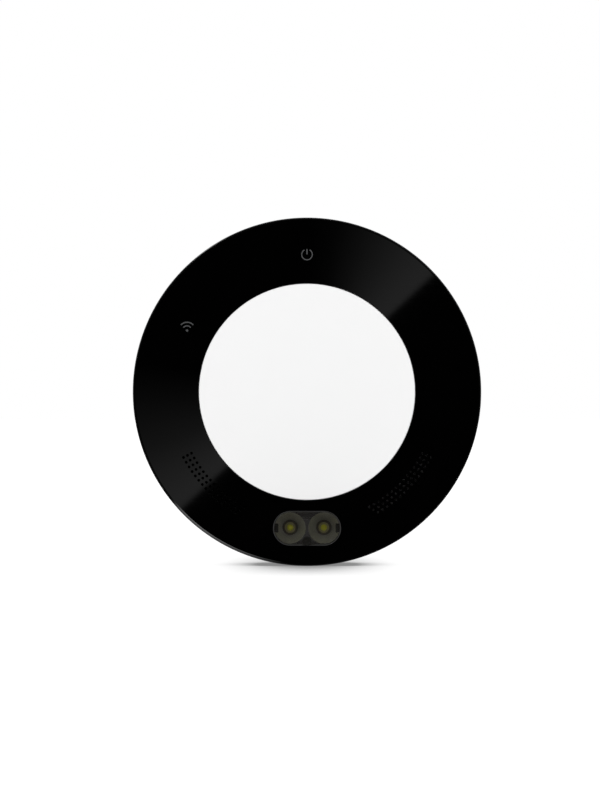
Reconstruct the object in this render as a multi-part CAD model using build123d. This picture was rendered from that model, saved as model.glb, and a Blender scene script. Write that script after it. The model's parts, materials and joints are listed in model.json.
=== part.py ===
from build123d import *
from math import atan2, cos, degrees, radians, sin, sqrt
import os

# A garage door controller: a round wall-mounted housing with a glossy front shell, a white centre
# cap, two warning lamps behind a tinted window and two sound grilles. The housing twists onto a
# wall plate. Spring terminals for the door wires, the power socket and the reset button are
# reached from behind.
#
# Every piece is drawn lying on its back: X to the right, Y up the face, and Z from the wall at
# zero towards the viewer. stand_up() turns it at the end, so that Z is up and the face looks
# along -Y. Lengths are in millimetres and angles in degrees, anticlockwise from X.

# Gaps and cuts
fit_gap = 0.1  # between pieces that locate each other
slide_gap = 0.12  # round a button in its guide
overrun = 1.0  # how far a cut runs past the face that it opens

# Body
body_radius = 65.0
rim_bevel = 0.5  # round the face
back_chamfer = 2.4
shell_wall = 2.0
split_height = 14.0  # of the parting line above the wall

# Depths, from the wall to the face
plate_thickness = 2.4
plate_gap = 0.5  # between the wall plate and the rear shell
board_standoff = 8.0
board_thickness = 1.6
board_room = 12.2  # for the parts on the main board
face_thickness = 2.4

inside_radius = body_radius - shell_wall
floor_back = plate_thickness + plate_gap
floor_front = floor_back + shell_wall
board_back = floor_front + board_standoff
board_front = board_back + board_thickness
face_back = board_front + board_room
face_front = face_back + face_thickness

# Snap tongues that join the two shells
snap_angles = (0.0, 60.0, 120.0, 180.0, 240.0, 300.0)
snap_width = 8.8
snap_thickness = 1.5
snap_gap = 0.15
snap_root = 5.0  # how far the tongue runs down the rear shell
snap_reach = 4.4  # how far it reaches into the front shell
snap_catch = 0.8
snap_nose = 1.4

snap_outer = sqrt(inside_radius**2 - (snap_width / 2) ** 2) - snap_gap
snap_tip = split_height + snap_reach

# Centre cap
ring_width = 24.6  # of the black face, from the rim to the cap
cap_bevel = 0.25
cap_flange_width = 1.5
cap_flange_thickness = 0.8
cap_hook_angles = (0.0, 60.0, 120.0, 180.0)
cap_hook_width = 4.0
cap_hook_thickness = 1.3
cap_hook_catch = 0.7
cap_hook_nose = 1.0

cap_opening_radius = body_radius - ring_width
cap_radius = cap_opening_radius - fit_gap
cap_flange_radius = cap_opening_radius + cap_flange_width
cap_flange_back = face_back - cap_flange_thickness

# Circle through the middle of the lamps, the sound grilles and the status symbols
feature_inset = 14.1  # from the rim to the circle that the lights and grilles are on
power_symbol_angle = 90.0
network_symbol_angle = 151.5

feature_radius = body_radius - feature_inset

# Lamp window and lamps
window_length = 25.3
window_height = 12.8
lamp_pitch = 12.4
reflector_ledge = 1.3  # how far the reflector reaches past the window, all round
reflector_depth = 5.5
reflector_corner = 3.0
cup_mouth_radius = 5.6
cup_base_radius = 2.7
cup_sides = 24
lamp_board_length = 34.0
lamp_board_height = 11.0
lamp_board_thickness = 1.6
lamp_base_size = 3.5
lamp_base_thickness = 0.7
lamp_lens_radius = 1.55
lamp_lens_height = 0.9
lamp_hook_width = 4.0
lamp_hook_thickness = 1.5
lamp_hook_catch = 0.7
lamp_hook_nose = 1.2

lamp_board_front = face_back - reflector_depth
lamp_board_back = lamp_board_front - lamp_board_thickness

# Sound grilles: rows of holes with one pitch, on arcs round the middle of the face
grille_start_angle = 28.0  # below the horizontal
grille_holes_per_row = 15
grille_rows = 3
grille_inset = 2.1  # from that circle to the inner row
grille_row_pitch = 1.68
grille_hole_pitch = 2.05
grille_hole_radius = 0.5
grille_hole_sides = 6
mesh_margin = 0.8  # round the outer holes
mesh_thickness = 0.3

grille_row_radius = feature_radius - grille_inset
grille_sweep = degrees((grille_holes_per_row - 1) * grille_hole_pitch / grille_row_radius)
grille_outer_radius = grille_row_radius + (grille_rows - 1) * grille_row_pitch
sound_angle = grille_start_angle + grille_sweep / 2
mesh_inner = grille_row_radius * cos(radians(grille_sweep / 2)) - mesh_margin
mesh_outer = grille_outer_radius + mesh_margin
mesh_length = 2 * (grille_outer_radius * sin(radians(grille_sweep / 2)) + mesh_margin)

# Speaker and siren
gasket_thickness = 0.8
gasket_width = 1.8
speaker_length = 22.0  # along the grille
speaker_width = 14.0
speaker_depth = 4.8
speaker_wall = 1.0
speaker_corner = 1.2
speaker_magnet_length = 10.0
speaker_magnet_width = 7.0
speaker_magnet_depth = 1.8
diaphragm_thickness = 0.3
diaphragm_crown = 0.8
diaphragm_taper = 45.0
siren_radius = 7.5
siren_depth = 5.0
siren_port_radius = 1.5
siren_port_depth = 1.2
sounder_rib = 1.0
sounder_rib_depth = 3.0

sounder_rib_break = 2 * (feature_radius - mesh_inner + fit_gap)  # where the mesh passes
gasket_front = face_back - mesh_thickness
gasket_back = gasket_front - gasket_thickness
speaker_back = gasket_back - speaker_depth
siren_back = gasket_back - siren_depth

# Spring contacts between the main board and the sounders
contact_pitch = 6.0
contact_strip = 0.25
contact_width = 1.6
contact_foot = 3.0
contact_pad = 1.8

# Light pipes
pipe_size = 2.4
pipe_skin = 0.6  # of the face that is left over a pipe
indicator_length = 1.6
indicator_width = 0.9
indicator_height = 0.8

# Main board
board_side_gap = 9.0  # from the edge of the board to the wall round it
socket_slot_width = 17.6
socket_slot_top = -26.4
post_inset = 7.5  # from the edge of the board
post_angles = (20.0, 160.0, 247.0, 293.0)
post_size = 5.0
clamp_size = 4.0
key_angles = (30.0, 150.0)  # of the ribs that fit notches in the board
key_width = 2.0
key_depth = 1.6

board_radius = inside_radius - board_side_gap
post_circle = board_radius - post_inset

# Wall plate with its hooks, and their slots in the rear shell
plate_radius = 55.0
plate_opening_radius = 36.0
plate_cable_gap = 17.0  # width of the break at the bottom
plate_screw_spacing = 83.3
plate_screw_hole_radius = 2.2
plate_countersink_radius = 4.2
hook_angles = (90.0, 210.0, 330.0)
hook_circle = 44.9  # to the middle of the stem
hook_stem = 1.8
hook_catch = 2.2  # how far the head reaches outwards
hook_head_thickness = 1.4
hook_lift = 0.2  # from the floor to the head
hook_half_angle = 4.5
hook_gap = 0.4
hook_gap_angle = 0.6
twist_angle = 15.0  # from locked to free

hook_inner_radius = hook_circle - hook_stem / 2
hook_stem_outer_radius = hook_circle + hook_stem / 2
hook_head_outer_radius = hook_stem_outer_radius + hook_catch
hook_head_back = floor_front + hook_lift
hook_head_front = hook_head_back + hook_head_thickness

# Wiring bay in the rear shell
bay_width = 63.0
bay_top = -4.0
bay_bottom = -26.0
bay_wall = 1.4
bay_corner_radius = 2.0
bay_board_gap = 0.2  # between the bay's walls and the board
channel_width = 14.0  # for the power plug
channel_bottom = -50.0
channel_front = 15.6  # inside, at the plug
outlet_width = 12.0  # for the cable and wires, through the rim
outlet_front = 8.4
outlet_corner_radius = 2.0

# Vents
vent_count = 9
vent_pitch = 4.0
vent_width = 1.6
vent_length = 14.0
vent_middle = 14.0  # above the middle of the body

# Terminal blocks
pole_count = 4
pole_pitch = 5.0
block_side_wall = 0.75
block_depth = 12.0
block_height = 8.0
block_top = -4.4
block_side_gap = 1.75  # to the side of the bay
block_edge = 0.5
lever_width = 3.0
lever_depth = 3.8
lever_length = 5.0
lever_proud = 1.4
lever_travel = 1.2
lever_inset = 1.3  # from the top of the block
lever_edge = 0.4
lever_slot_width = 0.8
lever_slot_depth = 0.5
well_spare = 0.3
entry_width = 2.8
entry_height = 2.8
entry_back = 3.1  # from the face of the block
entry_depth = 6.6
chamber_depth = 3.0  # from the board side
chamber_width = 2.8
chamber_length = 7.6
clamp_strip = 0.35
clamp_width = 2.4
clamp_rise = 2.2
clamp_reach = 5.2
clamp_margin = 0.3

block_width = pole_count * pole_pitch + 2 * block_side_wall
block_offset = (bay_width - block_width) / 2 - block_side_gap
block_face = board_back - block_height
block_bottom = block_top - block_depth
lever_middle = block_top - lever_inset - lever_depth / 2
chamber_top = lever_middle + lever_depth / 2

# Power socket
socket_width = 7.6
socket_height = 2.6
socket_length = 5.6
socket_sheet = 0.3
socket_reach = 0.2  # past the edge of the board
socket_tongue_width = 4.4
socket_tongue_thickness = 0.6
socket_tongue_length = 2.9
socket_base_length = 1.4
socket_mouth = socket_slot_top - socket_reach

# Reset button
reset_x = 24.0
reset_y = 4.0
reset_cap_size = 4.8
reset_sink = 0.4  # below the back of the floor
reset_flange_size = 6.6
reset_flange_thickness = 1.0
reset_stem_size = 3.0
reset_corner = 0.8
reset_travel = 0.7
switch_size = 6.0
switch_height = 3.5
switch_edge = 0.5
plunger_size = 3.3
plunger_proud = 1.2
plunger_sunk = 0.8
plunger_spare = 0.2

plunger_back = board_back - switch_height - plunger_proud

# Radio module
radio_x = -16.0
radio_inset = 21.0  # from the edge of the board to the middle of the module
radio_width = 18.0
radio_length = 26.0
radio_board_thickness = 1.0
shield_margin = 1.2
shield_length = 17.0
shield_height = 2.4
shield_sheet = 0.3

radio_y = board_radius - radio_inset

# Parts soldered on the front of the main board
relay_places = ((-26.0, -13.0), (-14.0, -13.0))
relay_width = 7.6
relay_length = 12.6
relay_height = 10.0
relay_edge = 0.6
capacitor_place = (20.0, -14.0)
capacitor_radius = 4.0
capacitor_height = 9.0
inductor_place = (33.0, -12.0)
inductor_size = 7.3
inductor_height = 4.5
inductor_edge = 1.2
processor_place = (18.0, 6.0)
processor_size = 12.0
processor_height = 1.4
memory_inset = 20.0  # from the edge of the board to the middle of the chip
memory_y = 8.0
memory_length = 8.0
memory_width = 6.0
memory_height = 1.6
coupler_places = ((-30.0, 6.0), (-22.0, 6.0))
coupler_length = 6.5
coupler_width = 4.6
coupler_height = 3.2
fuse_place = (3.0, -16.0)
fuse_length = 7.0
fuse_width = 3.0
fuse_height = 2.2
crystal_place = (2.0, 8.0)
crystal_length = 11.0
crystal_width = 4.6
crystal_height = 3.6
crystal_edge = 1.2

# Header from the main board to the lamp board
header_x = 12.6
header_rise = 3.5  # above the middle of the lamps
header_pins = 3
header_pitch = 2.54
header_body_size = 2.5
header_body_height = 2.5
header_pin_size = 0.64


def polar(radius, angle):
    """A point on the face, from its distance and its angle."""
    return (radius * cos(radians(angle)), radius * sin(radians(angle)))


def cylinder(radius, low, high, place=(0, 0)):
    """A round bar along Z from low to high."""
    bar = Cylinder(radius, high - low, align=(Align.CENTER, Align.CENTER, Align.MIN))
    return Pos(place[0], place[1], low) * bar


def block(left, right, bottom, top, low, high):
    """A box between six faces."""
    bar = Box(right - left, top - bottom, high - low, align=Align.MIN)
    return Pos(left, bottom, low) * bar


def block_at(place, width, depth, low, high):
    """A box round a place on the face."""
    x, y = place
    return block(x - width / 2, x + width / 2, y - depth / 2, y + depth / 2, low, high)


def facing(angle, shape):
    """Turns a shape drawn on the X axis, so that it lies at an angle round the middle."""
    return Rot(0, 0, angle) * shape


def pill(length, height, low, high, place=(0, 0)):
    """A bar with half-round ends, lying along X."""
    face = Pos(place[0], place[1], low) * SlotOverall(length, height)
    return extrude(face, high - low)


def turned(*points):
    """A solid of revolution about Z, from points given as radius and height."""
    outline = make_face(Polyline(*points, close=True))
    return revolve(Plane.XZ * outline, Axis.Z)


def sector(inner, outer, start, sweep, low, high):
    """A piece of a flat ring that starts at an angle and sweeps anticlockwise."""
    section = Pos((inner + outer) / 2, (low + high) / 2) * Rectangle(outer - inner, high - low)
    return facing(start, revolve(Plane.XZ * section, Axis.Z, sweep))


def rib(inner, outer, width, low, high):
    """A box on the X axis between two distances from the middle."""
    return block(inner, outer, -width / 2, width / 2, low, high)


def group(pieces):
    """Separate solids that share one node."""
    return Compound([solid for piece in pieces for solid in piece.solids()])


def lamp_place(side):
    """The middle of a lamp: side is -1 on the left and 1 on the right."""
    return (side * lamp_pitch / 2, -feature_radius)


def sounder_angle(side):
    """The angle of the speaker on the right, 1, or of the siren on the left, -1."""
    return -sound_angle if side > 0 else 180 + sound_angle


def at_sounder(side, shape):
    """Moves a shape, drawn with X along the radius, to the speaker or the siren."""
    return facing(sounder_angle(side), Pos(feature_radius, 0) * shape)


def pipe_place(angle):
    return polar(feature_radius, angle)


# Wall plate


def wall_plate():
    """The plate that is screwed to the wall, with the hooks that hold the housing."""
    plate = cylinder(plate_radius, 0, plate_thickness)
    plate -= cylinder(plate_opening_radius, -overrun, floor_back)
    half_gap = plate_cable_gap / 2
    plate -= block(-half_gap, half_gap, -body_radius, -half_gap, -overrun, floor_back)
    for side in (-1, 1):
        plate -= Pos(side * plate_screw_spacing / 2, 0) * screw_hole()
    for angle in hook_angles:
        plate += hook(angle)
    return plate


def screw_hole():
    """A countersunk hole through the wall plate."""
    sink = plate_countersink_radius - plate_screw_hole_radius
    return turned(
        (0, -overrun),
        (plate_screw_hole_radius, -overrun),
        (plate_screw_hole_radius, plate_thickness - sink),
        (plate_countersink_radius + overrun, plate_thickness + overrun),
        (0, plate_thickness + overrun),
    )


def hook(angle):
    """One hook: a stem through the floor of the rear shell and a head that reaches outwards."""
    start = angle - hook_half_angle
    sweep = 2 * hook_half_angle
    stem_low = plate_thickness / 2
    stem = sector(hook_inner_radius, hook_stem_outer_radius, start, sweep, stem_low, hook_head_front)
    head = sector(
        hook_inner_radius, hook_head_outer_radius, start, sweep, hook_head_back, hook_head_front
    )
    return stem + head


# Rear shell


def rear_shell():
    """The back half, with the slots for the hooks and the wiring bay."""
    body = turned(
        (0, floor_back),
        (body_radius - back_chamfer, floor_back),
        (body_radius, floor_back + back_chamfer),
        (body_radius, split_height),
        (inside_radius, split_height),
        (inside_radius, floor_front),
        (0, floor_front),
    )
    for angle in post_angles:
        body += block_at(polar(post_circle, angle), post_size, post_size, floor_front, board_back)
    for angle in key_angles:
        body += facing(angle, board_key())
    for angle in snap_angles:
        body += facing(angle, snap_tongue())
    body += bay_walls() & outside()
    body -= bay_opening()
    for angle in hook_angles:
        body -= hook_slot(angle)
    low, high = floor_back - overrun, floor_front + overrun
    for i in range(vent_count):
        x = (i - (vent_count - 1) / 2) * vent_pitch
        body -= block_at((x, vent_middle), vent_width, vent_length, low, high)
    reset_hole = reset_cap_size + 2 * slide_gap
    return body - block_at((reset_x, reset_y), reset_hole, reset_hole, low, high)


def outside():
    """Everything inside the outer surface of the two shells."""
    return turned(
        (0, floor_back),
        (body_radius - back_chamfer, floor_back),
        (body_radius, floor_back + back_chamfer),
        (body_radius, face_front),
        (0, face_front),
    )


def board_key():
    """A rib on the wall whose inner end fits a notch in the board."""
    inner = board_radius - key_depth + fit_gap
    return rib(inner, inside_radius + shell_wall / 2, key_width, floor_front, split_height)


def snap_tongue():
    """A tongue that reaches from the rear shell into the front shell, with its nose."""
    inner = snap_outer - snap_thickness
    root_outer = inside_radius + shell_wall / 2
    root = rib(inner, root_outer, snap_width, split_height - snap_root, split_height)
    tongue = rib(inner, snap_outer, snap_width, split_height, snap_tip)
    nose = rib(inner, snap_outer + snap_catch, snap_width, snap_tip - snap_nose, snap_tip)
    return root + tongue + nose


def bay_walls():
    """Walls round the wiring bay and the cable way, up to the board and over the plug."""
    half_bay = bay_width / 2 + bay_wall
    half_channel = channel_width / 2 + bay_wall
    half_outlet = outlet_width / 2 + bay_wall
    bay_end = board_back - bay_board_gap
    channel_end = channel_bottom - bay_wall
    walls = block(-half_bay, half_bay, bay_bottom - bay_wall, bay_top + bay_wall, floor_back, bay_end)
    walls += block(
        -half_channel,
        half_channel,
        channel_end,
        socket_slot_top - bay_board_gap,
        floor_back,
        channel_front + bay_wall,
    )
    walls += block(
        -half_outlet,
        half_outlet,
        shell_wall / 2 - body_radius,
        channel_end,
        floor_back,
        outlet_front + bay_wall,
    )
    return walls


def bay_opening():
    """The bay, open to the board, the way for the plug, and the outlet through the rim."""
    low = floor_back - overrun
    bay = block(-bay_width / 2, bay_width / 2, bay_bottom, bay_top, low, board_back)
    bay = fillet(bay.edges().filter_by(Axis.Z), bay_corner_radius)
    channel = block_at(
        (0, (channel_bottom + bay_bottom + overrun) / 2),
        channel_width,
        bay_bottom + overrun - channel_bottom,
        low,
        channel_front,
    )
    outlet = block_at(
        (0, (channel_bottom - body_radius) / 2),
        outlet_width,
        channel_bottom + body_radius + 2 * overrun,
        low,
        outlet_front,
    )
    top_edges = outlet.edges().filter_by(Axis.Y).group_by(Axis.Z)[-1]
    return bay + channel + fillet(top_edges, outlet_corner_radius)


def hook_slot(angle):
    """A slot that passes the head at one end and only the stem at the other."""
    start = angle - hook_half_angle - hook_gap_angle - twist_angle
    sweep = 2 * (hook_half_angle + hook_gap_angle)
    inner, outer = hook_inner_radius - hook_gap, hook_stem_outer_radius + hook_gap
    low, high = floor_back - overrun, floor_front + overrun
    narrow = sector(inner, outer, start, sweep + twist_angle, low, high)
    wide = sector(inner, hook_head_outer_radius + hook_gap, start, sweep, low, high)
    return narrow + wide


# Front shell


def grille_holes(side):
    """The holes of one grille, each row with the same pitch along its own arc."""
    holes = []
    for row in range(grille_rows):
        radius = grille_row_radius + row * grille_row_pitch
        for i in range(grille_holes_per_row):
            angle = grille_start_angle + degrees(i * grille_hole_pitch / radius)
            x, y = polar(radius, -angle)
            place = Pos(side * x, y, face_back - overrun) * Rot(0, 0, -side * angle)
            hole = place * RegularPolygon(grille_hole_radius, grille_hole_sides)
            holes.append(extrude(hole, face_thickness + 2 * overrun))
    return holes


def front_shell():
    """The glossy front half: its side, its ring-shaped face and what hangs behind it."""
    body = turned(
        (cap_opening_radius, face_back),
        (inside_radius, face_back),
        (inside_radius, split_height),
        (body_radius, split_height),
        (body_radius, face_front - rim_bevel),
        (body_radius - rim_bevel, face_front),
        (cap_opening_radius, face_front),
    )
    for angle in post_angles:
        place = polar(post_circle, angle)
        body += block_at(place, clamp_size, clamp_size, board_front + fit_gap, face_back)
    for angle in cap_hook_angles:
        body += facing(angle, cap_hook())
    for side in (-1, 1):
        body += lamp_hook(side)
    body += sounder_ribs(1, speaker_width, speaker_length)
    body += sounder_ribs(-1, 2 * siren_radius, 2 * siren_radius)
    for angle in snap_angles:
        body -= facing(angle, snap_pocket())
    for angle in (power_symbol_angle, network_symbol_angle):
        pocket = pipe_size + 2 * fit_gap
        low, high = face_back - overrun, face_front - pipe_skin
        body -= block_at(pipe_place(angle), pocket, pocket, low, high)
    length, height = window_length + 2 * fit_gap, window_height + 2 * fit_gap
    low, high = face_back - overrun, face_front + overrun
    body -= pill(length, height, low, high, (0, -feature_radius))
    return body - grille_holes(-1) - grille_holes(1)


def snap_pocket():
    """The pocket in the wall that the nose of a snap tongue springs into."""
    outer = snap_outer + snap_catch + snap_gap
    width = snap_width + 2 * snap_gap
    low, high = snap_tip - snap_nose - snap_gap, snap_tip + snap_gap
    return rib(inside_radius - overrun, outer, width, low, high)


def cap_hook():
    """A hook behind the face that holds the flange of the cap."""
    inner = cap_flange_radius + fit_gap
    low = cap_flange_back - cap_hook_nose
    stem = rib(inner, inner + cap_hook_thickness, cap_hook_width, low, face_back)
    return stem + rib(inner - cap_hook_catch, inner, cap_hook_width, low, cap_flange_back)


def lamp_hook(side):
    """A hook beside the reflector that holds the lamp board against it."""
    inner = lamp_board_length / 2 + fit_gap
    half = lamp_hook_width / 2
    low = lamp_board_back - lamp_hook_nose
    stem = block(inner, inner + lamp_hook_thickness, -half, half, low, face_back)
    stem += block(inner - lamp_hook_catch, inner, -half, half, low, lamp_board_back)
    return Pos(0, -feature_radius) * (stem if side > 0 else mirror(stem, Plane.YZ))


def sounder_ribs(side, width, length):
    """Ribs that locate the speaker or the siren behind its grille."""
    low = gasket_back - sounder_rib_depth
    inner_width, inner_length = width + 2 * fit_gap, length + 2 * fit_gap
    outer_width, outer_length = inner_width + 2 * sounder_rib, inner_length + 2 * sounder_rib
    ribs = block_at((0, 0), outer_width, outer_length, low, face_back)
    ribs -= block_at((0, 0), inner_width, inner_length, low - overrun, face_front)
    ribs -= block_at((0, 0), sounder_rib_break, outer_length + overrun, low - overrun, face_front)
    return at_sounder(side, ribs)


def centre_cap():
    """The white cap, with a flange that sits behind the face."""
    return turned(
        (0, cap_flange_back),
        (cap_flange_radius, cap_flange_back),
        (cap_flange_radius, face_back),
        (cap_radius, face_back),
        (cap_radius, face_front - cap_bevel),
        (cap_radius - cap_bevel, face_front),
        (0, face_front),
    )


def lamp_window():
    """The tinted window, flush with the face."""
    place = (0, -feature_radius)
    return pill(window_length, window_height, face_back, face_front, place)


# Lamps


def lamp_reflector():
    """The moulding behind the window, with a faceted cup for each lamp."""
    length = window_length + 2 * reflector_ledge
    height = window_height + 2 * reflector_ledge
    body = block_at((0, -feature_radius), length, height, lamp_board_front, face_back)
    body = chamfer(body.edges().filter_by(Axis.Z), reflector_corner)
    slope = degrees(atan2(cup_mouth_radius - cup_base_radius, reflector_depth))
    mouth = RegularPolygon(cup_mouth_radius, cup_sides, major_radius=False)
    cup = Rot(180, 0, 0) * extrude(mouth, reflector_depth, taper=slope)
    for side in (-1, 1):
        body -= Pos(*lamp_place(side), face_back) * cup
    return body


def lamp_board():
    """The small board that carries the two lamps."""
    place = (0, -feature_radius)
    return block_at(place, lamp_board_length, lamp_board_height, lamp_board_back, lamp_board_front)


def warning_lamps():
    """Two square lamp packages, each with a round lens."""
    lamps = []
    top = lamp_board_front + lamp_base_thickness
    for side in (-1, 1):
        place = lamp_place(side)
        base = block_at(place, lamp_base_size, lamp_base_size, lamp_board_front, top)
        lamps.append(base + cylinder(lamp_lens_radius, top, top + lamp_lens_height, place))
    return group(lamps)


def lamp_header():
    """Square pins in a row, from the main board to the lamp board."""
    body_high = board_front + header_body_height
    length = header_pins * header_pitch
    header_y = header_rise - feature_radius
    header = block_at((header_x, header_y), length, header_body_size, board_front, body_high)
    for i in range(header_pins):
        x = header_x + (i - (header_pins - 1) / 2) * header_pitch
        place = (x, header_y)
        header += block_at(place, header_pin_size, header_pin_size, body_high, lamp_board_back)
    return header


# Speaker and siren


def sounder_gaskets():
    """Foam frames between the meshes and the two sounders."""
    frames = []
    sizes = ((1, speaker_width, speaker_length), (-1, 2 * siren_radius, 2 * siren_radius))
    for side, width, length in sizes:
        frame = block_at((0, 0), width, length, gasket_back, gasket_front)
        inner_width, inner_length = width - 2 * gasket_width, length - 2 * gasket_width
        frame -= block_at((0, 0), inner_width, inner_length, gasket_back - overrun, face_back)
        frames.append(at_sounder(side, frame))
    return group(frames)


def dust_mesh(side):
    """The strip of cloth behind one grille."""
    half = mesh_length / 2
    cloth = block(mesh_inner, mesh_outer, -half, half, gasket_front, face_back)
    return facing(sounder_angle(side), cloth)


def speaker_frame():
    """The speaker's tub, open at the front."""
    frame = block_at((0, 0), speaker_width, speaker_length, speaker_back, gasket_back)
    frame = chamfer(frame.edges().filter_by(Axis.Z), speaker_corner)
    inner_width, inner_length = speaker_width - 2 * speaker_wall, speaker_length - 2 * speaker_wall
    floor = speaker_back + speaker_wall
    return at_sounder(1, frame - block_at((0, 0), inner_width, inner_length, floor, face_back))


def speaker_magnet():
    low = speaker_back + speaker_wall
    high = low + speaker_magnet_depth
    return at_sounder(1, block_at((0, 0), speaker_magnet_width, speaker_magnet_length, low, high))


def speaker_diaphragm():
    """A thin sheet with a raised middle that has sloping sides."""
    width = speaker_width - 2 * speaker_wall - 2 * fit_gap
    length = speaker_length - 2 * speaker_wall - 2 * fit_gap
    low = gasket_back - diaphragm_crown - diaphragm_thickness
    sheet = block_at((0, 0), width, length, low, low + diaphragm_thickness)
    foot = Rectangle(speaker_magnet_width, speaker_magnet_length)
    foot = Pos(0, 0, low + diaphragm_thickness) * foot
    return at_sounder(1, sheet + extrude(foot, diaphragm_crown, taper=diaphragm_taper))


def siren():
    """The siren's round case, with its sound port at the front."""
    case = cylinder(siren_radius, siren_back, gasket_back)
    port = cylinder(siren_port_radius, gasket_back - siren_port_depth, gasket_back + overrun)
    return at_sounder(-1, case - port)


def spring_contacts(side, high):
    """Two bent strips that stand on the main board and press on the back of a sounder."""
    base, top = board_front + contact_strip / 2, high - contact_strip / 2
    half = contact_foot / 2
    bend = Polyline((-half, base), (half, base), (-half, top), (contact_pad - half, top))
    strip = extrude(Plane.XZ * trace(bend, contact_strip), contact_width / 2, both=True)
    return group([at_sounder(side, Pos(0, y) * strip) for y in (-contact_pitch / 2, contact_pitch / 2)])


# Light pipes and indicator lamps


def light_pipe(angle):
    """A clear bar from an indicator lamp to the thin skin under its symbol."""
    low = board_front + indicator_height + fit_gap
    high = face_front - pipe_skin - fit_gap
    return block_at(pipe_place(angle), pipe_size, pipe_size, low, high)


def indicator_lamps():
    lamps = []
    for angle in (power_symbol_angle, network_symbol_angle):
        high = board_front + indicator_height
        lamp = block_at(pipe_place(angle), indicator_length, indicator_width, board_front, high)
        lamps.append(lamp)
    return group(lamps)


# Main board and what is soldered on it


def main_board():
    """The round board, with a slot for the power plug and notches for the keys."""
    board = cylinder(board_radius, board_back, board_front)
    low, high = board_back - overrun, board_front + overrun
    half = socket_slot_width / 2
    board -= block(-half, half, -body_radius, socket_slot_top, low, high)
    half = key_width / 2 + fit_gap
    notch = block(board_radius - key_depth, board_radius + overrun, -half, half, low, high)
    for angle in key_angles:
        board -= facing(angle, notch)
    return board


def on_board(place, width, depth, height, edge=0):
    """A moulded part on the front of the main board, with its upright corners cut."""
    part = block_at(place, width, depth, board_front, board_front + height)
    return chamfer(part.edges().filter_by(Axis.Z), edge) if edge else part


def relays():
    shapes = [on_board(p, relay_width, relay_length, relay_height, relay_edge) for p in relay_places]
    return group(shapes)


def capacitor():
    return cylinder(capacitor_radius, board_front, board_front + capacitor_height, capacitor_place)


def power_inductor():
    return on_board(inductor_place, inductor_size, inductor_size, inductor_height, inductor_edge)


def processor():
    return on_board(processor_place, processor_size, processor_size, processor_height)


def memory_chip():
    return on_board((board_radius - memory_inset, memory_y), memory_length, memory_width, memory_height)


def input_couplers():
    shapes = [on_board(p, coupler_length, coupler_width, coupler_height) for p in coupler_places]
    return group(shapes)


def fuse():
    return on_board(fuse_place, fuse_length, fuse_width, fuse_height)


def crystal():
    return on_board(crystal_place, crystal_length, crystal_width, crystal_height, crystal_edge)


def radio_module():
    """The radio's own small board, with its antenna at the upper end."""
    return on_board((radio_x, radio_y), radio_width, radio_length, radio_board_thickness)


def radio_shield():
    """A pressed can over the lower part of the radio."""
    low = board_front + radio_board_thickness
    high = low + shield_height
    width = radio_width - 2 * shield_margin
    place = (radio_x, radio_y - radio_length / 2 + shield_margin + shield_length / 2)
    can = block_at(place, width, shield_length, low, high)
    inner_width, inner_length = width - 2 * shield_sheet, shield_length - 2 * shield_sheet
    return can - block_at(place, inner_width, inner_length, low - overrun, high - shield_sheet)


# Terminals


def pole_x(side, pole):
    """The outputs are on the left of the face, -1, and the inputs on the right, 1."""
    return side * block_offset + (pole - (pole_count - 1) / 2) * pole_pitch


def terminal_block(side):
    """A moulded block on the back of the board: levers face the wall, wires enter from below."""
    middle = side * block_offset
    half = block_width / 2
    body = block(middle - half, middle + half, block_bottom, block_top, block_face, board_back)
    body = chamfer(body.edges().filter_by(Axis.X).group_by(Axis.Z)[0], block_edge)
    for pole in range(pole_count):
        body -= pole_openings(pole_x(side, pole))
    return body


def pole_openings(x):
    """The well of the lever, the wire entry and the chamber of the clamp spring."""
    well_width, well_depth = lever_width + 2 * slide_gap, lever_depth + 2 * slide_gap
    well_end = block_face + lever_length - lever_proud + lever_travel + well_spare
    low = block_face - overrun
    well = block_at((x, lever_middle), well_width, well_depth, low, well_end)
    entry_end = block_bottom + entry_depth
    entry_low = block_face + entry_back
    left, right = x - entry_width / 2, x + entry_width / 2
    entry_high = entry_low + entry_height
    entry = block(left, right, block_bottom - overrun, entry_end, entry_low, entry_high)
    left, right = x - chamber_width / 2, x + chamber_width / 2
    chamber_bottom = chamber_top - chamber_length
    low, high = board_back - chamber_depth, board_back + overrun
    return [well, entry, block(left, right, chamber_bottom, chamber_top, low, high)]


def clamp_springs(side):
    """Bent strips, one in each pole, seated on the board side of their chamber."""
    base = board_back - clamp_strip / 2
    back = chamber_top - clamp_margin - clamp_strip / 2
    front = chamber_top - chamber_length + clamp_margin
    bend = Polyline(
        (front, base),
        (back, base),
        (back, base - clamp_rise),
        (back - clamp_reach, base - clamp_rise / 2),
    )
    solid = extrude(Plane.YZ * trace(bend, clamp_strip), clamp_width / 2, both=True)
    return group([Pos(pole_x(side, pole), 0, 0) * solid for pole in range(pole_count)])


def lever(side, pole):
    """A press lever, with a slot for the tip of a screwdriver."""
    low = block_face - lever_proud
    place = (pole_x(side, pole), lever_middle)
    body = block_at(place, lever_width, lever_depth, low, low + lever_length)
    body = chamfer(body.edges().group_by(Axis.Z)[0], lever_edge)
    slot_length = lever_depth - 2 * lever_edge
    slot = block_at(place, lever_slot_width, slot_length, low - overrun, low + lever_slot_depth)
    return body - slot


# Power socket


def power_socket_shell():
    """The pressed shell of the power socket, open downwards at the edge of the board."""
    half = socket_width / 2
    top = socket_mouth + socket_length
    low = board_back - socket_height
    shell = block(-half, half, socket_mouth, top, low, board_back)
    shell = chamfer(shell.edges().filter_by(Axis.Y).group_by(Axis.Z)[0], socket_sheet)
    return shell - block(
        socket_sheet - half,
        half - socket_sheet,
        socket_mouth - overrun,
        top - socket_sheet,
        low + socket_sheet,
        board_back - socket_sheet,
    )


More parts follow.
